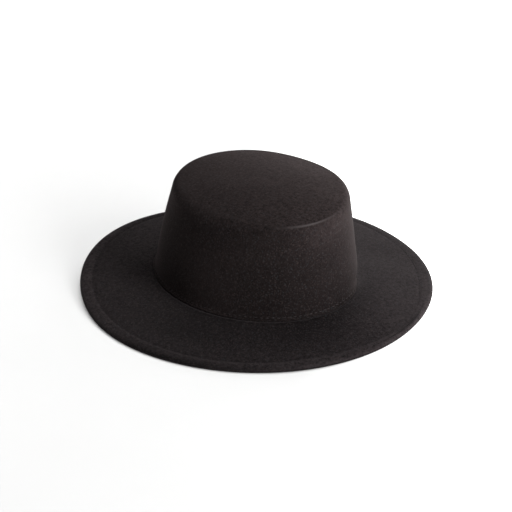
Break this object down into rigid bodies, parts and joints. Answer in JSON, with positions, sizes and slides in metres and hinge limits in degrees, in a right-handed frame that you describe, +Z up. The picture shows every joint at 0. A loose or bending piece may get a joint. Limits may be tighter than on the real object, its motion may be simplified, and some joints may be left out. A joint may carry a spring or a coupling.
{
  "type": "flat-topped felt hat",
  "caption": "Stiff dark felt hat with a tapered oval crown, a nearly flat tip and a wide round brim with a stitched hem, resting on its rim.",
  "frame": {"origin": "middle of the hat's overall plan, on the surface that its rim rests on", "axes": "+Z up through the tip of the crown, -Y towards the front of the hat, X from side to side"},
  "size_m": [0.32, 0.322, 0.1075],
  "materials": {
    "crown_felt": "pressed wool felt, warm black, fine short fuzz",
    "brim_felt": "pressed wool felt, black, fine short fuzz",
    "sweatband_cloth": "ribbed black band"
  },
  "bodies": {
    "root": {"crown": "crown_felt", "brim": "brim_felt", "sweatband": "sweatband_cloth"}
  },
  "joints": []
}
